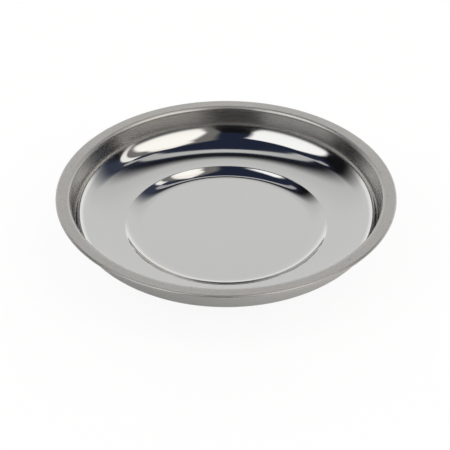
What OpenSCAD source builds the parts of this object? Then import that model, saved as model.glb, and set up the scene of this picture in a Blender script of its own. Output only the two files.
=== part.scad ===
// Round magnetic parts tray: a drawn steel dish that stands on a booted ring magnet.
// +Z is up. The origin lies under the middle of the boot, on the surface the tray stands on.

/* [Dish] */
// Diameter over the rim
dish_d = 150; // [120:0.5:220]
// Depth from the top of the rim to the inner edge of the outer floor
dish_depth = 16.8; // [14:0.1:28]
// Thickness of the drawn sheet
sheet_t = 0.7; // [0.4:0.05:1]
// Width of the rim, from the line of the wall to the outer edge
rim_w = 6.2; // [5.5:0.1:12]
// Lean of the wall away from upright, in degrees
wall_lean = 7.5; // [4:0.5:20]
// Inside radius of the curve between wall and floor
wall_curve_r = 9; // [5:0.5:11]
// Inside radius of the bend between wall and rim
shoulder_bend_r = 1; // [0.5:0.1:2]
// Gap inside the folded hem
hem_gap = 0.2; // [0.1:0.05:0.8]
// Length of the hem's return leg under the rim
hem_leg = 2.2; // [1:0.1:2.8]

/* [Floor] */
// Width of the outer floor, from the wall's curve in to the recess
floor_w = 16.1; // [8:0.1:20]
// Radius of the shallow curve in which the outer floor rises towards the wall
floor_curve_r = 66; // [50:1:150]
// Slope of the outer floor at its inner edge, in degrees
floor_fall = 1.5; // [0:0.5:4]
// Depth of the recess below the inner edge of the outer floor
recess_depth = 2.2; // [2:0.1:4]
// Slope of the recess's side below its crease, in degrees
recess_slope = 29; // [18:1:30]
// Inside radius of the curve at the foot of the recess's side
recess_foot_r = 14; // [4:0.5:15]
// Inside radius of the crease at the top of the recess's side
crease_bend_r = 0.4; // [0.2:0.1:1]

/* [Magnet] */
// Diameter of the ring magnet
magnet_d = 70; // [60:0.5:76]
// Bore of the ring magnet
magnet_bore = 32; // [26:0.5:40]
// Thickness of the ring magnet
magnet_t = 8; // [7:0.5:14]
// Chamfer on the magnet's four edges
magnet_chamfer = 0.5; // [0.2:0.1:1]
// Thickness of the foam gasket between magnet and dish
gasket_t = 0.5; // [0.3:0.1:1.2]
// Gap between the gasket's outer edge and the boot's lip
gasket_gap = 0.4; // [0.2:0.1:3]
// How far the gasket's hole stands back from the magnet's bore
gasket_setback = 1; // [0.5:0.1:6]

/* [Pole plate] */
// Thickness of the pressed pole plate
plate_t = 1.2; // [0.8:0.1:1.8]
// How far the plate's edge stands in from the magnet's
plate_inset = 1; // [0.5:0.1:6]
// Inside radius of the plate's bends
plate_bend_r = 0.5; // [0.3:0.1:1.2]
// Clearance of the plate's cup in the magnet's bore
cup_clearance = 0.3; // [0.1:0.05:1.5]

/* [Fastener] */
// Diameter of the weld stud
stud_d = 5; // [4:0.5:6]
// Diameter of the stud's weld flange
flange_d = 10; // [8:0.5:16]
// Thickness of the stud's weld flange
flange_t = 1; // [0.6:0.1:1.4]
// Length of stud that shows past the nut
stud_proud = 0.4; // [0.2:0.1:0.8]
// Room left between the stud's end and the boot
stud_room = 0.6; // [0.4:0.1:1.2]
// Hex nut's width across its flats
nut_af = 8; // [7.5:0.5:10]
// Height of the hex nut
nut_h = 4; // [3:0.1:4.7]
// Outside diameter of the spring washer
washer_d = 9.2; // [8.2:0.1:12]
// Thickness of the spring washer
washer_t = 1.2; // [0.8:0.1:1.6]
// Width of the split in the spring washer
washer_split = 0.8; // [0.4:0.1:1.4]
// Clearance between the stud's thread and the nut's
thread_clearance = 0.05; // [0.02:0.01:0.1]
// Clearance round the stud in plate and washer
hole_clearance = 0.25; // [0.1:0.05:0.4]

/* [Boot] */
// Thickness of the boot's floor
boot_floor_t = 1.5; // [1.2:0.1:3]
// Thickness of the boot's wall at its foot
boot_wall_t = 2.2; // [1.6:0.1:3]
// How much the boot's wall thins towards its top
boot_taper = 0.5; // [0:0.1:0.9]
// Width of the lip that folds in over the magnet
lip_w = 2.5; // [1.2:0.1:6]
// Clearance between boot and magnet
boot_clearance = 0.15; // [0.1:0.05:0.5]
// Radius of the boot's lower edge
boot_foot_r = 1.6; // [0.8:0.1:2]
// Radius of the boot's upper edge
boot_crown_r = 0.6; // [0.3:0.1:1]
// Number of grip grooves under the boot
groove_count = 3; // [1:1:4]
// Width of each grip groove
groove_w = 1.2; // [0.6:0.1:2.5]
// Depth of each grip groove
groove_depth = 0.5; // [0.2:0.1:0.9]
// Distance from one grip groove to the next
groove_pitch = 5; // [3:0.5:6]
// Distance from the boot's side to the first grip groove
groove_margin = 6; // [4:0.5:9]

/* [Hidden] */
$fn = 96;
// Largest turn between two points of a rounded outline, in degrees
arc_step = 7.5;
// Longest run between two points of a rounded outline
arc_run = 3;
// Length by which a cut runs past the faces that it opens
overrun = 1;
// Chamfer on the free end of the stud
stud_chamfer = 0.5;
// Share of the nut's width across flats that its flat bearing face takes
nut_face_share = 0.95;
// Slope of the nut's corner chamfers, in degrees
nut_chamfer_slope = 30;
// Lean of the washer's split away from upright, in degrees
washer_split_lean = 20;

// Heights, from the surface that the tray stands on upwards
plate_z = boot_floor_t;
magnet_z = plate_z + plate_t;
gasket_z = magnet_z + magnet_t;
seat_z = gasket_z + gasket_t;
recess_z = seat_z + sheet_t;
floor_z = recess_z + recess_depth;
rim_z = floor_z + dish_depth;

// Dish: the slope and the height that the outer floor has gained where the wall's curve takes over
floor_rise = asin(sin(floor_fall) + floor_w / floor_curve_r);
floor_gain = floor_curve_r * (cos(floor_fall) - cos(floor_rise));

// Dish: the bends of wall and outer floor, from the rim inwards
dish_r = dish_d / 2;
wall_top_r = dish_r - rim_w;
wall_z = floor_z + floor_gain + wall_curve_r * cos(floor_rise);
wall_x = wall_top_r - (rim_z - wall_z) * tan(wall_lean) - wall_curve_r / cos(wall_lean);
wall_centre = [wall_x, wall_z];
floor_edge = [wall_x + wall_curve_r * sin(floor_rise) - floor_w, floor_z];
floor_centre = floor_edge + floor_curve_r * [-sin(floor_fall), cos(floor_fall)];

// Dish: the bends of the recess, whose straight side runs between its crease and its foot
crease_r = crease_bend_r + sheet_t;
crease_centre = floor_edge + crease_r * [sin(floor_fall), -cos(floor_fall)];
side_top = crease_centre + crease_r * [-sin(recess_slope), cos(recess_slope)];
side_foot_z = recess_z + recess_foot_r * (1 - cos(recess_slope));
side_foot_x = side_top.x - (side_top.y - side_foot_z) / tan(recess_slope);
foot_centre = [side_foot_x - recess_foot_r * sin(recess_slope), recess_z + recess_foot_r];

// Dish: the bends of the rim
shoulder_r = shoulder_bend_r + sheet_t;
hem_r = sheet_t + hem_gap / 2;
shoulder_centre = [wall_top_r + shoulder_r * tan((90 - wall_lean) / 2), rim_z - shoulder_r];
hem_centre = [dish_r - hem_r, rim_z - hem_r];

// Magnet, boot and plate share the magnet's two diameters
magnet_r = magnet_d / 2;
bore_r = magnet_bore / 2;
lip_r = magnet_r - lip_w;
boot_inner_r = magnet_r + boot_clearance;
boot_foot_outer_r = boot_inner_r + boot_wall_t;
boot_top_outer_r = boot_foot_outer_r - boot_taper;
cup_r = bore_r - max(cup_clearance, plate_bend_r - magnet_chamfer);
plate_outer_bend_r = plate_bend_r + plate_t;

// Fastener stack, from the cup's ceiling downwards
stud_r = stud_d / 2;
hole_r = stud_r + hole_clearance;
cup_depth = washer_t + nut_h + stud_proud + stud_room;
cup_ceiling_z = plate_z + cup_depth;
washer_z = cup_ceiling_z - washer_t;
nut_z = washer_z - nut_h;
stud_end_z = nut_z - stud_proud;
nut_corner_r = nut_af / 2 / cos(30);

// Points along a round stretch of an outline
function arc(centre, r, from, to) =
    let (turn = abs(to - from))
    let (steps = ceil(max(turn / arc_step, r * turn * PI / 180 / arc_run)))
    [for (i = [0:steps]) let (a = from + (to - from) * i / steps) centre + r * [cos(a), sin(a)]];

// One side of the dish's sheet, from the middle out to the hem: its face is the upper one where
// depth is zero, and lies that far below it otherwise
function dish_side(depth) = concat(
    [[0, recess_z - depth]],
    arc(foot_centre, recess_foot_r + depth, -90, recess_slope - 90),
    arc(crease_centre, crease_r - depth, recess_slope + 90, floor_fall + 90),
    arc(floor_centre, floor_curve_r + depth, floor_fall - 90, floor_rise - 90),
    arc(wall_centre, wall_curve_r + depth, floor_rise - 90, -wall_lean),
    arc(shoulder_centre, shoulder_r - depth, 180 - wall_lean, 90),
    arc(hem_centre, hem_r - depth, 90, -90),
    [[hem_centre.x - hem_leg, hem_centre.y - hem_r + depth]]
);

// One side of the pole plate's sheet, from its hole out to its edge
function plate_side(depth) =
    let (bend_x = cup_r - plate_outer_bend_r)
    let (top_z = cup_ceiling_z + plate_t)
    concat(
        [[hole_r, top_z - depth]],
        arc([bend_x, top_z - plate_outer_bend_r], plate_outer_bend_r - depth, 90, 0),
        arc([cup_r + plate_bend_r, magnet_z + plate_bend_r], plate_bend_r + depth, 180, 270),
        [[magnet_r - plate_inset, magnet_z - depth]]
    );

function reversed(points) = [for (i = [len(points) - 1:-1:0]) points[i]];

// A flat ring with its lower face at height z
module ring(outer_r, inner_r, z, h) {
    translate([0, 0, z])
        difference() {
            cylinder(r = outer_r, h = h);
            translate([0, 0, -overrun]) cylinder(r = inner_r, h = h + 2 * overrun);
        }
}

// Polished dish, drawn from one sheet, with a folded hem and a recess that seats the magnet
module dish() {
    color("silver")
        rotate_extrude()
            polygon(concat(dish_side(0), reversed(dish_side(sheet_t))));
}

// Headless stud with a flange that is welded under the middle of the dish
module weld_stud() {
    color("goldenrod")
        rotate_extrude()
            polygon([
                [0, seat_z],
                [flange_d / 2, seat_z],
                [flange_d / 2, seat_z - flange_t],
                [stud_r, seat_z - flange_t],
                [stud_r, stud_end_z + stud_chamfer],
                [stud_r - stud_chamfer, stud_end_z],
                [0, stud_end_z]
            ]);
}

// Thin foam ring that keeps the brittle magnet off the sheet
module magnet_gasket() {
    color("dimgray") ring(lip_r - gasket_gap, bore_r + gasket_setback, gasket_z, gasket_t);
}

// Sintered ring magnet with broken edges
module ring_magnet() {
    color("darkslategray")
        rotate_extrude()
            polygon([
                [bore_r + magnet_chamfer, magnet_z],
                [magnet_r - magnet_chamfer, magnet_z],
                [magnet_r, magnet_z + magnet_chamfer],
                [magnet_r, gasket_z - magnet_chamfer],
                [magnet_r - magnet_chamfer, gasket_z],
                [bore_r + magnet_chamfer, gasket_z],
                [bore_r, gasket_z - magnet_chamfer],
                [bore_r, magnet_z + magnet_chamfer]
            ]);
}

// Pressed plate that carries the magnet, with a cup that centres it and sinks the nut
module pole_plate() {
    color("lightsteelblue")
        rotate_extrude()
            polygon(concat(plate_side(0), reversed(plate_side(plate_t))));
}

// Split spring washer, shown clamped flat under the cup's ceiling
module spring_washer() {
    ring_w = washer_d / 2 - hole_r;
    color("slategray")
        difference() {
            ring(washer_d / 2, hole_r, washer_z, washer_t);
            translate([hole_r + ring_w / 2, 0, washer_z + washer_t / 2])
                rotate([washer_split_lean, 0, 0])
                    cube([ring_w + 2 * overrun, washer_split, washer_t + 2 * overrun], center = true);
        }
}

// Hexagon nut with chamfered corners
module hex_nut() {
    face_r = nut_face_share * nut_af / 2;
    outer_r = nut_corner_r + overrun;
    fall = (outer_r - face_r) * tan(nut_chamfer_slope);
    color("lightgray")
        difference() {
            intersection() {
                translate([0, 0, nut_z]) cylinder(r = nut_corner_r, h = nut_h, $fn = 6);
                rotate_extrude()
                    polygon([
                        [0, nut_z],
                        [face_r, nut_z],
                        [outer_r, nut_z + fall],
                        [outer_r, nut_z + nut_h - fall],
                        [face_r, nut_z + nut_h],
                        [0, nut_z + nut_h]
                    ]);
            }
            translate([0, 0, nut_z - overrun])
                cylinder(r = stud_r + thread_clearance, h = nut_h + 2 * overrun);
        }
}

// Moulded boot that grips the magnet, with a lip trapped above it and grip grooves below
module rubber_boot() {
    color("#26262a")
        difference() {
            rotate_extrude()
                polygon(concat(
                    [[0, 0]],
                    arc([boot_foot_outer_r - boot_foot_r, boot_foot_r], boot_foot_r, -90, 0),
                    arc([boot_top_outer_r - boot_crown_r, seat_z - boot_crown_r], boot_crown_r, 0, 90),
                    [
                        [lip_r, seat_z],
                        [lip_r, gasket_z],
                        [boot_inner_r, gasket_z],
                        [boot_inner_r, boot_floor_t],
                        [0, boot_floor_t]
                    ]
                ));
            for (i = [0:groove_count - 1])
                let (groove_r = boot_foot_outer_r - groove_margin - i * groove_pitch)
                    ring(groove_r + groove_w / 2, groove_r - groove_w / 2, -overrun, overrun + groove_depth);
        }
}

dish();
weld_stud();
magnet_gasket();
ring_magnet();
pole_plate();
spring_washer();
hex_nut();
rubber_boot();
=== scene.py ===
import math

import bmesh
import bpy
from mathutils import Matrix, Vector


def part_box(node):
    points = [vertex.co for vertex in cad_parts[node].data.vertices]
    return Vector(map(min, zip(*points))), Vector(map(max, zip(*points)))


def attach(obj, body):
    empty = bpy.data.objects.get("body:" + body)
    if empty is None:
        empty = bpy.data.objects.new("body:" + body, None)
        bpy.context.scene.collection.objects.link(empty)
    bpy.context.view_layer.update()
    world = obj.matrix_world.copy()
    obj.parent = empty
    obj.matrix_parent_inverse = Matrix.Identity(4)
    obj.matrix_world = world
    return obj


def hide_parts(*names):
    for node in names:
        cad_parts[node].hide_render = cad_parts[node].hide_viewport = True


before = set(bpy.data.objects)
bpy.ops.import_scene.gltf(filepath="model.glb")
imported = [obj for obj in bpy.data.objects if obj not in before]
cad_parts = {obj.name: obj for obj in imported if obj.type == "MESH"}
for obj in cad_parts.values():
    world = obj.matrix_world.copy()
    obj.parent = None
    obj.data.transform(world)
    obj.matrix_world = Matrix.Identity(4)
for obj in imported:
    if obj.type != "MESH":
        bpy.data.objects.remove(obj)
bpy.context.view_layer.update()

# The dish is one disc of stainless sheet, drawn to a shallow bowl with a recess in its floor.
# Its rim is folded under in a closed hem. The floor and the foot of the wall are buffed to a
# mirror, and the upper wall, the rim and the outside keep the fine rings of the satin belt.
dish_low, dish_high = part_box("dish")
dish_r = dish_high.x
rim_z = dish_high.z
sheet_t = 0.0007
rim_w = 0.0062
wall_lean = math.radians(7.5)
wall_curve_r = 0.009
shoulder_bend_r = 0.0010
hem_gap = 0.0002
hem_leg = 0.0022
floor_w = 0.0161
floor_curve_r = 0.066
floor_fall = math.radians(1.5)
recess_depth = 0.0022
recess_slope = math.radians(29)
recess_foot_r = 0.014
crease_bend_r = 0.0004
polish_drop = 0.0125
satin_drop = 0.0070
upper_turn = math.radians(2)
under_turn = math.radians(5)
tight_turn = math.radians(9)
flat_hold = 0.00012
dish_segments = 360
dish_sharp_angle = math.radians(50)
quarter = math.pi / 2


def along(angle):
    """A step of length 1 in the plane of the outline, at an angle above level."""
    return Vector((math.cos(angle), math.sin(angle)))


shoulder_r = shoulder_bend_r + sheet_t
hem_r = hem_gap / 2 + sheet_t
crease_r = crease_bend_r + sheet_t
recess_z = dish_low.z + sheet_t
floor_z = recess_z + recess_depth
wall_top_r = dish_r - rim_w
floor_rise = math.asin(math.sin(floor_fall) + floor_w / floor_curve_r)
floor_gain = floor_curve_r * (math.cos(floor_fall) - math.cos(floor_rise))
wall_z = floor_z + floor_gain + wall_curve_r * math.cos(floor_rise)
wall_x = wall_top_r - (rim_z - wall_z) * math.tan(wall_lean) - wall_curve_r / math.cos(wall_lean)
wall_centre = Vector((wall_x, wall_z))
floor_edge = Vector((wall_x + wall_curve_r * math.sin(floor_rise) - floor_w, floor_z))
floor_centre = floor_edge + along(floor_fall + quarter) * floor_curve_r
crease_centre = floor_edge - along(floor_fall + quarter) * crease_r
side_top = crease_centre + along(recess_slope + quarter) * crease_r
side_foot_z = recess_z + recess_foot_r * (1 - math.cos(recess_slope))
side_foot_x = side_top.x - (side_top.y - side_foot_z) / math.tan(recess_slope)
foot_x = side_foot_x - recess_foot_r * math.sin(recess_slope)
foot_centre = Vector((foot_x, recess_z + recess_foot_r))
half_lean = math.tan((quarter - wall_lean) / 2)
shoulder_centre = Vector((wall_top_r + shoulder_r * half_lean, rim_z - shoulder_r))
hem_centre = Vector((dish_r - hem_r, rim_z - hem_r))


def arc(centre, radius, start, stop, turn):
    """Points of a round stretch of an outline, as radius and height."""
    steps = max(2, math.ceil(abs(stop - start) / turn))
    angles = [start + (stop - start) * i / steps for i in range(steps + 1)]
    return [centre + along(a) * radius for a in angles]


def dish_side(depth, turn):
    """The sheet's face at a depth under its upper face, from the middle to the hem's end."""
    return [
        Vector((0, recess_z - depth)),
        *arc(foot_centre, recess_foot_r + depth, -quarter, recess_slope - quarter, turn),
        *arc(crease_centre, crease_r - depth, recess_slope + quarter, floor_fall + quarter, tight_turn),
        *arc(floor_centre, floor_curve_r + depth, floor_fall - quarter, floor_rise - quarter, turn)[1:],
        *arc(wall_centre, wall_curve_r + depth, floor_rise - quarter, -wall_lean, turn)[1:],
        *arc(shoulder_centre, shoulder_r - depth, math.pi - wall_lean, quarter, tight_turn),
        *arc(hem_centre, hem_r - depth, quarter, -quarter, tight_turn),
        Vector((hem_centre.x - hem_leg, hem_centre.y - hem_r + depth)),
    ]


def held(points, hold):
    """The outline with a point added close to each end of a stretch that meets a much shorter one."""
    short_ratio = 3
    steps = [(b - a).length for a, b in zip(points, points[1:])]
    out = [points[0]]
    for i, step in enumerate(steps):
        a, b = points[i], points[i + 1]
        if steps[max(i - 1, 0)] < step / short_ratio:
            out.append(a.lerp(b, hold / step))
        if steps[min(i + 1, len(steps) - 1)] < step / short_ratio:
            out.append(b.lerp(a, hold / step))
        out.append(b)
    return out


class Wire:
    """An output of a node. Sums and products of wires add Math nodes to the same tree."""

    def __init__(self, tree, socket=None):
        self.tree = tree
        self.socket = socket

    def fill(self, node, sockets):
        """Gives a node's sockets their values, or the wires that feed them."""
        for key, value in sockets.items():
            if isinstance(value, Wire):
                self.tree.links.new(value.socket, node.inputs[key])
            else:
                node.inputs[key].default_value = value

    def node(self, kind, settings=None, sockets=None, out=0):
        """Any node, with its settings set first, and then its sockets."""
        made = self.tree.nodes.new(kind)
        for name, value in (settings or {}).items():
            setattr(made, name, value)
        self.fill(made, sockets or {})
        return Wire(self.tree, made.outputs[out])

    def other(self, name):
        """Another output of the same node."""
        return Wire(self.tree, self.socket.node.outputs[name])

    def math(self, operation, *values):
        return self.node("ShaderNodeMath", {"operation": operation}, dict(enumerate(values)))

    def __add__(self, value):
        return self.math("ADD", self, value)

    def __radd__(self, value):
        return self.math("ADD", value, self)

    def __sub__(self, value):
        return self.math("SUBTRACT", self, value)

    def __rsub__(self, value):
        return self.math("SUBTRACT", value, self)

    def __mul__(self, value):
        return self.math("MULTIPLY", self, value)

    def __rmul__(self, value):
        return self.math("MULTIPLY", value, self)

    def __truediv__(self, value):
        return self.math("DIVIDE", self, value)

    def __rtruediv__(self, value):
        return self.math("DIVIDE", value, self)

    def step(self, low, high):
        """0 where the wire is at low, 1 where it is at high, and smooth between them."""
        sockets = {"Value": self, "From Min": low, "From Max": high}
        return self.node("ShaderNodeMapRange", {"interpolation_type": "SMOOTHSTEP"}, sockets)

    def mix(self, first, second):
        """The first colour where the wire is 0, the second where it is 1."""
        sockets = {0: self, 6: first, 7: second}
        return self.node("ShaderNodeMix", {"data_type": "RGBA", "clamp_factor": True}, sockets, 2)

    def vector(self, x, y, z):
        return self.node("ShaderNodeCombineXYZ", None, {"X": x, "Y": y, "Z": z})

    def noise(self, vector, scale, detail, roughness):
        sockets = {"Vector": vector, "Scale": scale, "Detail": detail, "Roughness": roughness}
        return self.node("ShaderNodeTexNoise", None, sockets)

    def bump(self, height, distance, strength=1.0):
        sockets = {"Height": height, "Distance": distance, "Strength": strength}
        return self.node("ShaderNodeBump", None, sockets)


def new_lathe():
    """A node tree that turns an outline, a chain of points in the XZ plane, about the Z axis."""
    tree = bpy.data.node_groups.new("lathe", "GeometryNodeTree")
    face = tree.interface
    face.new_socket("Outline", in_out="INPUT", socket_type="NodeSocketGeometry")
    face.new_socket("Segments", in_out="INPUT", socket_type="NodeSocketInt")
    face.new_socket("Sharp Angle", in_out="INPUT", socket_type="NodeSocketFloat")
    face.new_socket("Weld Distance", in_out="INPUT", socket_type="NodeSocketFloat")
    face.new_socket("Finish", in_out="INPUT", socket_type="NodeSocketMaterial")
    face.new_socket("Turned", in_out="OUTPUT", socket_type="NodeSocketGeometry")
    start = Wire(tree).node("NodeGroupInput")
    outline = start.other("Outline")
    points = start.node("GeometryNodeAttributeDomainSize", None, {"Geometry": outline}, "Point Count")
    rows = {"Size X": 1.0, "Size Y": 1.0, "Vertices X": points}
    rows["Vertices Y"] = start.other("Segments") + 1
    turned = start.node("GeometryNodeMeshGrid", None, rows)
    place = start.node("GeometryNodeInputPosition")
    grid_half = 0.5
    grid_spot = start.node("ShaderNodeSeparateXYZ", None, {"Vector": place})
    row = start.math("ROUND", (grid_spot.other("X") + grid_half) * (points - 1))
    turn = (grid_spot.other("Y") + grid_half) * math.tau

    def from_outline(kind, value):
        """A value at the outline's point that a row of the grid stands for."""
        sockets = {"Geometry": outline, "Value": value, "Index": row}
        return start.node("GeometryNodeSampleIndex", {"data_type": kind, "domain": "POINT"}, sockets)

    spot = start.node("ShaderNodeSeparateXYZ", None, {"Vector": from_outline("FLOAT_VECTOR", place)})
    reach = spot.other("X")
    turned_x = reach * start.math("COSINE", turn)
    turned_y = reach * start.math("SINE", turn)
    around = start.vector(turned_x, turned_y, spot.other("Z"))
    traits = {}
    for trait in ("run", "satin", "outside"):
        kept = start.node("GeometryNodeInputNamedAttribute", {"data_type": "FLOAT"}, {"Name": trait})
        traits[trait] = from_outline("FLOAT", kept)
    for trait, value in traits.items():
        settings = {"data_type": "FLOAT", "domain": "POINT"}
        sockets = {"Geometry": turned, "Name": trait, "Value": value}
        turned = start.node("GeometryNodeStoreNamedAttribute", settings, sockets)
    turned = start.node("GeometryNodeSetPosition", None, {"Geometry": turned, "Position": around})
    weld = {"Geometry": turned, "Distance": start.other("Weld Distance")}
    turned = start.node("GeometryNodeMergeByDistance", None, weld)
    bend = start.node("GeometryNodeInputMeshEdgeAngle")
    soft = start.math("LESS_THAN", bend, start.other("Sharp Angle"))
    for domain, smooth in (("FACE", True), ("EDGE", soft)):
        sockets = {"Geometry": turned, "Shade Smooth": smooth}
        turned = start.node("GeometryNodeSetShadeSmooth", {"domain": domain}, sockets)
    turned = start.node("GeometryNodeRealizeInstances", None, {"Geometry": turned})
    coat = {"Geometry": turned, "Material": start.other("Finish")}
    turned = start.node("GeometryNodeSetMaterial", None, coat)
    start.fill(tree.nodes.new("NodeGroupOutput"), {"Turned": turned})
    return tree


lathe = new_lathe()
weld_distance = 0.000001


def turn_piece(name, outline, traits, segments, sharp_angle, finish):
    """A piece on the lathe: its outline is a chain of points, and the result a plain mesh."""
    chain = bpy.data.meshes.new(name + "_outline")
    links = [(i, i + 1) for i in range(len(outline) - 1)]
    chain.from_pydata([(p.x, 0, p.y) for p in outline], links, [])
    for trait, values in traits.items():
        chain.attributes.new(trait, "FLOAT", "POINT").data.foreach_set("value", values)
    piece = bpy.data.objects.new(name, chain)
    bpy.context.scene.collection.objects.link(piece)
    turning = piece.modifiers.new("lathe", "NODES")
    turning.node_group = lathe
    inputs = {
        "Segments": segments,
        "Sharp Angle": sharp_angle,
        "Weld Distance": weld_distance,
        "Finish": finish,
    }
    for socket in lathe.interface.items_tree:
        if socket.name in inputs:
            turning[socket.identifier] = inputs[socket.name]
    made = piece.evaluated_get(bpy.context.evaluated_depsgraph_get())
    piece.data = bpy.data.meshes.new_from_object(made)
    piece.modifiers.clear()
    skin = bmesh.new()
    skin.from_mesh(piece.data)
    bmesh.ops.recalc_face_normals(skin, faces=skin.faces)
    skin.to_mesh(piece.data)
    skin.free()
    piece.data.name = name
    return piece


def new_finish(name):
    """A material, its surface shader, and a wire to begin its expressions with."""
    finish = bpy.data.materials.new(name)
    finish.use_nodes = True
    return finish, finish.node_tree.nodes["Principled BSDF"], Wire(finish.node_tree)


def ease(value, low, high):
    """0 below low, 1 above high, and smooth between them."""
    share = min(1, max(0, (value - low) / (high - low)))
    return share * share * (3 - 2 * share)


upper_face = held(dish_side(0, upper_turn), flat_hold)
under_face = held(dish_side(sheet_t, under_turn), flat_hold)[::-1]
dish_outline = upper_face + under_face
dish_satin = [ease(p.y, rim_z - polish_drop, rim_z - satin_drop) for p in upper_face]
dish_satin += [1.0] * len(under_face)
dish_outside = [0.0] * len(upper_face) + [1.0] * len(under_face)
dish_run = [0.0]
for a, b in zip(dish_outline, dish_outline[1:]):
    dish_run.append(dish_run[-1] + (b - a).length)

mirror_steel = (0.605, 0.603, 0.6, 1)
satin_steel = (0.49, 0.48, 0.464, 1)
rim_dark = (0.475, 0.462, 0.44, 1)
rim_pale = (0.545, 0.53, 0.506, 1)
outside_steel = (0.47, 0.465, 0.45, 1)
nick_steel = (0.2, 0.19, 0.18, 1)
mirror_rough = 0.045
satin_rough = 0.21
rim_rough = 0.1
outside_rough = 0.09
rim_edge_drop = 0.0012
rim_full_drop = 0.0003
axis_guard = 0.0000001
fine_ring_rate = 4200
fine_ring_drift = 2.5
broad_ring_rate = 800
broad_ring_drift = 1.2
fine_ring_share = 0.65
broad_ring_share = 0.35
ring_mean = 0.5
ring_rough_mirror = 0.02
ring_rough_satin = 0.14
ring_height = 0.00002
ring_height_mirror = 0.02
ring_height_satin = 0.25
smudge_scale = 34.0
smudge_rough = 0.02
grit_scale = 420.0
nick_core = 0.08
nick_edge = 0.2
nick_pick_low = 0.84
nick_pick_high = 0.86
nick_strength = 0.75
rim_grain_scale = 1500.0
steel_finish, steel, wire = new_finish("polished_stainless")
spot = wire.node("ShaderNodeTexCoord", None, None, "Object")
axes = wire.node("ShaderNodeSeparateXYZ", None, {"Vector": spot})
x = axes.other("X")
y = axes.other("Y")
z = axes.other("Z")
reach = wire.math("SQRT", x * x + y * y + axis_guard)
around_x = x / reach
around_y = y / reach
run = wire.node("ShaderNodeAttribute", {"attribute_name": "run"}, None, "Fac")
satin = wire.node("ShaderNodeAttribute", {"attribute_name": "satin"}, None, "Fac")
outside = wire.node("ShaderNodeAttribute", {"attribute_name": "outside"}, None, "Fac")
on_rim = z.step(rim_z - rim_edge_drop, rim_z - rim_full_drop) * (1 - outside)


def ring_noise(rate, drift, detail, roughness):
    """Noise that runs in rings round the axis and drifts slowly along each ring."""
    place = wire.vector(run * rate, around_x * drift, around_y * drift)
    return wire.noise(place, 1.0, detail, roughness)


fine_rings = ring_noise(fine_ring_rate, fine_ring_drift, 3.0, 0.6)
broad_rings = ring_noise(broad_ring_rate, broad_ring_drift, 2.0, 0.5)
rings = (fine_rings * fine_ring_share + broad_rings * broad_ring_share) - ring_mean
smudge = wire.noise(spot, smudge_scale, 4.0, 0.6).step(0.45, 0.75)
grit = wire.node("ShaderNodeTexVoronoi", None, {"Vector": spot, "Scale": grit_scale})
grit_pick = wire.node("ShaderNodeSeparateColor", None, {"Color": grit.other("Color")})
picked = grit_pick.step(nick_pick_low, nick_pick_high)
nick = (1 - grit.step(nick_core, nick_edge)) * picked * on_rim
tone = satin.mix(mirror_steel, satin_steel)
rim_grain = wire.noise(spot, rim_grain_scale, 3.0, 0.7).step(0.35, 0.65)
tone = on_rim.mix(tone, rim_grain.mix(rim_dark, rim_pale))
tone = outside.mix(tone, outside_steel)
steel_rough = mirror_rough + satin * satin_rough + on_rim * rim_rough + outside * outside_rough
ring_rough = rings * (ring_rough_mirror + satin * ring_rough_satin)
ring_relief = fine_rings * (ring_height_mirror + satin * satin * ring_height_satin)
wire.fill(
    steel,
    {
        "Base Color": (nick * nick_strength).mix(tone, nick_steel),
        "Metallic": 1.0,
        "Roughness": steel_rough + smudge * smudge_rough + ring_rough,
        "Normal": wire.bump(ring_relief, ring_height),
    },
)
dish = turn_piece(
    "drawn_dish",
    dish_outline,
    {"run": dish_run, "satin": dish_satin, "outside": dish_outside},
    dish_segments,
    dish_sharp_angle,
    steel_finish,
)
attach(dish, "root")
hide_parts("dish")

# The stud is an upset steel pin with a thin copper coat. Its flange is fused to the middle of the
# dish from below, which leaves the floor without a hole, and its rolled thread takes the nut.
stud_low, stud_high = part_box("weld_stud")
thread_pitch = 0.0008
thread_depth = 0.0004
flange_t = 0.001


def dress(node, finish):
    """Puts a finish on a CAD node's own solid."""
    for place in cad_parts[node].material_slots:
        place.material = finish


def threaded(wire, axes, bottom, top):
    """The height of a rolled thread over a band of a pin, from -1 at its roots to 1 at its crests."""
    turn = wire.math("ARCTAN2", axes.other("Y"), axes.other("X"))
    wave = wire.math("SINE", axes.other("Z") * (math.tau / thread_pitch) + turn)
    edge = thread_pitch / 2
    begun = axes.other("Z").step(bottom, bottom + edge)
    ended = axes.other("Z").step(top - edge, top)
    return wave * begun * (1 - ended)


copper_bright = (0.80, 0.45, 0.29, 1)
copper_dull = (0.46, 0.24, 0.15, 1)
stain_scale = 700.0
copper_rough = 0.3
stain_rough = 0.2
copper_finish, copper, wire = new_finish("copper_flash")
spot = wire.node("ShaderNodeTexCoord", None, None, "Object")
axes = wire.node("ShaderNodeSeparateXYZ", None, {"Vector": spot})
thread = threaded(wire, axes, stud_low.z, stud_high.z - flange_t)
stain = wire.noise(spot, stain_scale, 4.0, 0.6)
wire.fill(
    copper,
    {
        "Base Color": (stain.step(0.35, 0.75) * 0.8 + thread * 0.1).mix(copper_bright, copper_dull),
        "Metallic": 1.0,
        "Roughness": copper_rough + stain * stain_rough,
        "Normal": wire.bump(thread, thread_depth),
    },
)
dress("weld_stud", copper_finish)

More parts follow.
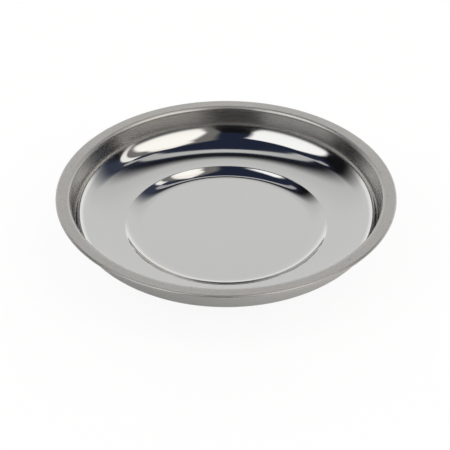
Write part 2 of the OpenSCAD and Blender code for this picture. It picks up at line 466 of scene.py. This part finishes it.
# The gasket is a ring die-cut from thin closed-cell foam, glued to the top of the magnet. It keeps
# the brittle magnet off the sheet.
foam_dark = (0.035, 0.035, 0.038, 1)
foam_light = (0.11, 0.11, 0.115, 1)
cell_scale = 3200.0
cell_depth = 0.00015
patch_scale = 160.0
foam_rough = 0.85
patch_rough = 0.1
foam_finish, foam, wire = new_finish("foam")
spot = wire.node("ShaderNodeTexCoord", None, None, "Object")
cells = wire.node("ShaderNodeTexVoronoi", None, {"Vector": spot, "Scale": cell_scale})
patch = wire.noise(spot, patch_scale, 3.0, 0.6)
# The cell pits, where the bump sinks, are also painted darker: painted shade in the pores.
wire.fill(
    foam,
    {
        "Base Color": (cells * 0.6 + patch * 0.4).mix(foam_dark, foam_light),
        "Roughness": foam_rough + patch * patch_rough,
        "Normal": wire.bump(cells, cell_depth),
    },
)
dress("magnet_gasket", foam_finish)

# The ring magnet is pressed and sintered ferrite, a grey-black ceramic. Its two faces are ground
# flat, which leaves faint arcs, and its broken edges show small pale chips.
ferrite_dark = (0.045, 0.045, 0.05, 1)
ferrite_pale = (0.12, 0.12, 0.125, 1)
grind_centre_x = 0.12
grind_rate = 2600
grind_drift = 120
grind_depth = 0.00003
speck_scale = 1500.0
ferrite_rough = 0.5
grind_rough = 0.15
speck_rough = 0.15
ferrite_finish, ferrite, wire = new_finish("ferrite")
spot = wire.node("ShaderNodeTexCoord", None, None, "Object")
axes = wire.node("ShaderNodeSeparateXYZ", None, {"Vector": spot})
far_x = axes.other("X") - grind_centre_x
grind_r = wire.math("SQRT", far_x * far_x + axes.other("Y") * axes.other("Y"))
grind_place = wire.vector(grind_r * grind_rate, axes.other("Z") * grind_drift, 0.0)
grind = wire.noise(grind_place, 1.0, 2.0, 0.6)
speck = wire.noise(spot, speck_scale, 3.0, 0.7)
wire.fill(
    ferrite,
    {
        "Base Color": (grind * 0.35 + speck.step(0.55, 0.8) * 0.65).mix(ferrite_dark, ferrite_pale),
        "Roughness": ferrite_rough + grind * grind_rough + speck * speck_rough,
        "Normal": wire.bump(grind * 0.6 + speck * 0.4, grind_depth),
    },
)
dress("ring_magnet", ferrite_finish)

# The pole plate is pressed from mild steel sheet and plated with bright zinc. It carries the
# magnet's flux, its cup centres the ring, and the nut under the cup's ceiling holds both up.
zinc_bright = (0.66, 0.68, 0.71, 1)
zinc_dull = (0.47, 0.49, 0.52, 1)
zinc_warm = (0.62, 0.60, 0.52, 1)
spangle_scale = 260.0
spangle_depth = 0.00002
tarnish_scale = 48.0
tarnish_strength = 0.4
zinc_rough = 0.26
spangle_rough = 0.16
tarnish_rough = 0.1
zinc_finish, zinc, wire = new_finish("zinc_plate")
spot = wire.node("ShaderNodeTexCoord", None, None, "Object")
spangle = wire.noise(spot, spangle_scale, 4.0, 0.6)
tarnish = wire.noise(spot, tarnish_scale, 3.0, 0.5).step(0.5, 0.8)
wire.fill(
    zinc,
    {
        "Base Color": (tarnish * tarnish_strength).mix(spangle.mix(zinc_bright, zinc_dull), zinc_warm),
        "Metallic": 1.0,
        "Roughness": zinc_rough + spangle * spangle_rough + tarnish * tarnish_rough,
        "Normal": wire.bump(spangle, spangle_depth),
    },
)
dress("pole_plate", zinc_finish)

# The spring washer is a coil of square steel wire, cut, hardened and blackened. The tightened nut
# clamps it flat, and it keeps the nut from working loose.
spring_dark = (0.10, 0.10, 0.11, 1)
spring_worn = (0.42, 0.42, 0.43, 1)
scuff_scale = 900.0
scuff_depth = 0.00002
spring_rough = 0.42
scuff_polish = 0.12
spring_finish, spring, wire = new_finish("spring_steel")
spot = wire.node("ShaderNodeTexCoord", None, None, "Object")
scuff = wire.noise(spot, scuff_scale, 4.0, 0.7).step(0.5, 0.8)
wire.fill(
    spring,
    {
        "Base Color": scuff.mix(spring_dark, spring_worn),
        "Metallic": 1.0,
        "Roughness": spring_rough - scuff * scuff_polish,
        "Normal": wire.bump(scuff, scuff_depth),
    },
)
dress("spring_washer", spring_finish)

# The hex nut is cold-formed steel with the same zinc as the plate. It holds the whole stack up
# against the dish, sunk in the plate's cup so that the boot's floor stays flat.
dress("hex_nut", zinc_finish)

# The rubber boot is a black cup moulded in one piece and stretched over the magnet and its plate.
# Its lip is trapped above the magnet. A fine line runs round it where the mould parted, and
# three grip grooves ring its underside.
boot_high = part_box("rubber_boot")[1]
magnet_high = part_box("ring_magnet")[1]
plate_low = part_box("pole_plate")[0]
boot_r = boot_high.x
boot_top = boot_high.z
boot_taper = 0.0005
boot_foot_r = 0.0016
boot_crown_r = 0.0006
boot_clearance = 0.00015
boot_lip_w = 0.0025
boot_floor_t = plate_low.z
groove_count = 3
groove_steps = 10
groove_w = 0.0012
groove_depth = 0.0005
groove_pitch = 0.005
groove_margin = 0.006
mould_line_z = 0.0062
mould_line_w = 0.0003
mould_line_h = 0.00012
mould_line_shares = (-1, -0.5, 0, 0.5, 1)
boot_hold = 0.00008
boot_segments = 192
boot_sharp_angle = math.radians(40)
boot_top_r = boot_r - boot_taper
boot_inner_r = magnet_high.x + boot_clearance
boot_lip_r = magnet_high.x - boot_lip_w


def groove(middle):
    """A round-topped grip groove, from its inner edge to its outer edge."""
    turns = [math.pi - math.pi * i / groove_steps for i in range(groove_steps + 1)]
    return [Vector((middle + groove_w / 2 * math.cos(a), groove_depth * math.sin(a))) for a in turns]


def boot_wall(height):
    """The outer wall's radius, which tapers from the foot to the crown."""
    share = (height - boot_foot_r) / (boot_top - boot_crown_r - boot_foot_r)
    return boot_r - boot_taper * share


boot_outline = [Vector((0, 0))]
for i in reversed(range(groove_count)):
    boot_outline += groove(boot_r - groove_margin - i * groove_pitch)
boot_foot = Vector((boot_r - boot_foot_r, boot_foot_r))
boot_outline += arc(boot_foot, boot_foot_r, -quarter, 0, tight_turn)
for share in mould_line_shares:
    height = mould_line_z + share * mould_line_w / 2
    boot_outline.append(Vector((boot_wall(height) + mould_line_h * (1 - share * share), height)))
boot_crown = Vector((boot_top_r - boot_crown_r, boot_top - boot_crown_r))
boot_outline += arc(boot_crown, boot_crown_r, 0, quarter, tight_turn)
boot_outline += [
    Vector((boot_lip_r, boot_top)),
    Vector((boot_lip_r, magnet_high.z)),
    Vector((boot_inner_r, magnet_high.z)),
    Vector((boot_inner_r, boot_floor_t)),
    Vector((0, boot_floor_t)),
]
boot_outline = held(boot_outline, boot_hold)

boot_black = (0.024, 0.024, 0.026, 1)
boot_grey = (0.042, 0.041, 0.041, 1)
boot_dust = (0.15, 0.145, 0.135, 1)
grain_scale = 2600.0
grain_depth = 0.00003
grain_strength = 0.6
cloud_scale = 60.0
dust_scale = 900.0
dust_strength = 0.45
boot_rough = 0.58
grain_rough = 0.14
dust_rough = 0.2
boot_gloss = 0.4
rubber_finish, rubber, wire = new_finish("boot_rubber")
spot = wire.node("ShaderNodeTexCoord", None, None, "Object")
grain = wire.noise(spot, grain_scale, 3.0, 0.6)
cloud = wire.noise(spot, cloud_scale, 4.0, 0.6)
dust = cloud.step(0.52, 0.8) * wire.noise(spot, dust_scale, 2.0, 0.5).step(0.4, 0.7)
wire.fill(
    rubber,
    {
        "Base Color": (dust * dust_strength).mix(cloud.mix(boot_black, boot_grey), boot_dust),
        "Roughness": boot_rough + grain * grain_rough + dust * dust_rough,
        "Specular IOR Level": boot_gloss,
        "Normal": wire.bump(grain, grain_depth, grain_strength),
    },
)
boot = turn_piece("rubber_cup", boot_outline, {}, boot_segments, boot_sharp_angle, rubber_finish)
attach(boot, "root")
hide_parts("rubber_boot")

# The studio: a white table with a white sweep behind it, a lit slot over the sweep, and a large
# softbox at each side of the camera. The right one has a grey frame, a top panel and a bright
# strip at its edge. The rest of the room is dark, and the steel shows all of it.
rim_centre = Vector((0, 0, rim_z))
paper_white = (0.9, 0.9, 0.9, 1)
seen_shade = (0.12, 0.12, 0.12, 1)
seen_glow = 0.91
mirrored_shade = (0.55, 0.55, 0.55, 1)
mirrored_glow = 0.28
even_glow = (1, 1, 1, 1)
left_glow = (0.9, 0.9, 0.9, 1)
right_glow = (1.9, 1.9, 1.9, 1)
glow_left_x = -0.04
glow_right_x = 0.1
table_half = 3.0
table_mesh = bpy.data.meshes.new("table")
corners = [(-table_half, -table_half, 0), (table_half, -table_half, 0)]
corners += [(table_half, table_half, 0), (-table_half, table_half, 0)]
table_mesh.from_pydata(corners, [], [(0, 1, 2, 3)])
table = bpy.data.objects.new("table", table_mesh)
bpy.context.scene.collection.objects.link(table)
table_finish = bpy.data.materials.new("table_paper")
table_finish.use_nodes = True
table_finish.node_tree.nodes.clear()
wire = Wire(table_finish.node_tree)


def lit_paper(shade, tint, glow):
    """White paper of which a share keeps its shadows and the rest glows in the given colour, which may
    carry painted light.
    """
    matt = wire.node("ShaderNodeBsdfDiffuse", None, {"Color": shade})
    even = wire.node("ShaderNodeEmission", None, {"Color": tint, "Strength": glow})
    return wire.node("ShaderNodeAddShader", None, {0: matt, 1: even})


path = wire.node("ShaderNodeLightPath")
mirrored = wire.math("MAXIMUM", path.other("Is Glossy Ray"), path.other("Is Transmission Ray"))
plain = wire.node("ShaderNodeBsdfDiffuse", None, {"Color": paper_white})
spot = wire.node("ShaderNodeTexCoord", None, None, "Object")
across = wire.node("ShaderNodeSeparateXYZ", None, {"Vector": spot})
# Painted light: the table as the steel sees it glows about twice as bright on the right as on the left,
# a painted pool of light on the paper.
painted_light_ramp = across.step(glow_left_x, glow_right_x).mix(left_glow, right_glow)
in_steel = lit_paper(mirrored_shade, painted_light_ramp, mirrored_glow)
paper = wire.node("ShaderNodeMixShader", None, {0: mirrored, 1: plain, 2: in_steel})
in_view = lit_paper(seen_shade, even_glow, seen_glow)
seen = path.other("Is Camera Ray")
paper = wire.node("ShaderNodeMixShader", None, {0: seen, 1: paper, 2: in_view})
wire.fill(table_finish.node_tree.nodes.new("ShaderNodeOutputMaterial"), {"Surface": paper})
table_mesh.materials.append(table_finish)

room_black = (0.010, 0.010, 0.012, 1)
room_navy = (0.023, 0.030, 0.058, 1)
side_navy = (0.055, 0.065, 0.10, 1)
navy_left_x = 0.1
navy_right_x = 0.4
navy_front_y = -0.1
navy_back_y = 0.2
sweep_mid = (0.88, 0.88, 0.875, 1)
sweep_edge = (0.74, 0.74, 0.735, 1)
sweep_foot = (1.2, 1.2, 1.18, 1)
sweep_half = math.radians(72)
sweep_top = math.radians(48.5)
sweep_round = 2.6
sweep_mid_share = 0.7
sweep_edge_share = 0.97
sweep_foot_low = math.radians(12)
sweep_foot_high = math.radians(26)
sweep_end = 0.93
sweep_past = 1.04
side_fade = 0.12
slot_low = math.radians(53.9)
slot_high = math.radians(57.3)
slot_half = math.radians(46)
slot_soft = math.radians(0.5)
slot_end_soft = math.radians(2)
slot_bright = (0.78, 0.78, 0.77, 1)
slot_dim = (0.45, 0.45, 0.45, 1)
left_white = (1.5, 1.5, 1.48, 1)
right_cream = (1.58, 1.54, 1.47, 1)
top_cream = (1.45, 1.39, 1.31, 1)
frame_grey = (0.25, 0.24, 0.225, 1)
strip_white = (1.35, 1.32, 1.27, 1)
left_box = ((-72, -2), (-122, 66), (-55, 81), (-22, 39), (-30, -2))
right_box = ((19, 4), (17, 47), (122, 77), (138, 71), (66, 5))
right_top = ((98, 60), (112, 79), (134, 78), (156, 70), (163, 61.5))
right_strip = ((68, 5), (129, 61), (131, 57), (72, 5))
box_soft = 0.035
strip_soft = 0.012
top_soft = 0.02
frame_reach = 0.14
box_foot = (0.10, 0.105, 0.115, 1)
foot_low = math.radians(12)
foot_high = math.radians(28)


def from_rim(side_angle, height_angle):
    """A direction from the rim's centre, by its angles round from the camera's side and up."""
    a = math.radians(side_angle)
    e = math.radians(height_angle)
    return Vector((math.sin(a) * math.cos(e), -math.cos(a) * math.cos(e), math.sin(e)))


world = bpy.data.worlds.new("studio")
world.use_nodes = True
bpy.context.scene.world = world
wire = Wire(world.node_tree)
look = wire.node("ShaderNodeTexCoord")


def panel(box, soft, reach=0.0):
    """1 within a flat panel, whose corner directions are given in turn, and 0 outside it."""
    ways = [from_rim(*corner) for corner in box]
    middle = sum(ways, Vector())
    inside = 1.0
    for a, b in zip(ways, ways[1:] + ways[:1]):
        edge = a.cross(b).normalized()
        edge = edge if edge.dot(middle) > 0 else -edge
        dot = {"operation": "DOT_PRODUCT"}
        past = wire.node("ShaderNodeVectorMath", dot, {0: look, 1: edge}, "Value")
        inside = past.step(-reach - soft, soft - reach) * inside
    return inside


axes = wire.node("ShaderNodeSeparateXYZ", None, {"Vector": look})
side = wire.math("ABSOLUTE", wire.math("ARCTAN2", axes.other("X"), axes.other("Y")))
height = wire.math("MAXIMUM", wire.math("ARCSINE", axes.other("Z")), 0.0)
sideways = wire.math("POWER", side / sweep_half, sweep_round)
upwards = wire.math("POWER", height / sweep_top, sweep_round)
spread = wire.math("POWER", sideways + upwards, 1 / sweep_round)
sweep = spread.step(sweep_mid_share, sweep_edge_share).mix(sweep_mid, sweep_edge)
sweep = height.step(sweep_foot_low, sweep_foot_high).mix(sweep_foot, sweep)
slot = height.step(slot_low - slot_soft, slot_low + slot_soft)
slot = slot * (1 - height.step(slot_high - slot_soft, slot_high + slot_soft))
slot = slot * (1 - side.step(slot_half - slot_end_soft, slot_half + slot_end_soft))
room = height.step(sweep_top, slot_high).mix(room_black, room_navy)
rightward = axes.other("X").step(navy_left_x, navy_right_x)
backward = axes.other("Y").step(navy_front_y, navy_back_y)
room = (rightward * backward).mix(room, side_navy)
room = slot.mix(room, (side / slot_half).mix(slot_bright, slot_dim))
fade = side / sweep_half * side_fade
room = (1 - spread.step(sweep_end - fade, sweep_past + fade)).mix(room, sweep)
clear = height.step(foot_low, foot_high)
room = panel(left_box, box_soft).mix(room, clear.mix(box_foot, left_white))
room = panel(right_box, box_soft, frame_reach).mix(room, frame_grey)
room = panel(right_strip, strip_soft).mix(room, strip_white)
room = panel(right_top, top_soft).mix(room, top_cream)
room = panel(right_box, box_soft).mix(room, clear.mix(box_foot, right_cream))
light = wire.node("ShaderNodeBackground", None, {"Color": room, "Strength": 1.0})
backdrop = wire.node("ShaderNodeBackground", None, {"Color": (1, 1, 1, 1), "Strength": 1.0})
seen = wire.node("ShaderNodeLightPath").other("Is Camera Ray")
sky = wire.node("ShaderNodeMixShader", None, {0: seen, 1: light, 2: backdrop})
wire.fill(world.node_tree.nodes["World Output"], {"Surface": sky})

# The camera stands in front of the tray and looks down on its rim from about 35 degrees.
# Its long lens and its aim put the rim where the photograph has it.
camera_reach = 1.0
camera_height_angle = 35.07
sensor_mm = 36
frame_px = 450
focal_px = 2271
rim_px = Vector((226.1, 192.5))
camera_data = bpy.data.cameras.new("camera")
camera_data.sensor_width = sensor_mm
camera_data.lens = focal_px * sensor_mm / frame_px
camera = bpy.data.objects.new("camera", camera_data)
camera.location = rim_centre + from_rim(0, camera_height_angle) * camera_reach
ahead = (rim_centre - camera.location).normalized()
right = Vector((1, 0, 0))
above = right.cross(ahead)
aim = ahead + right * ((frame_px / 2 - rim_px.x) / focal_px)
aim = aim - above * ((frame_px / 2 - rim_px.y) / focal_px)
camera.rotation_mode = "QUATERNION"
camera.rotation_quaternion = aim.to_track_quat("-Z", "Y")
bpy.context.scene.collection.objects.link(camera)
bpy.context.scene.camera = camera
bpy.context.scene.view_settings.view_transform = "Standard"
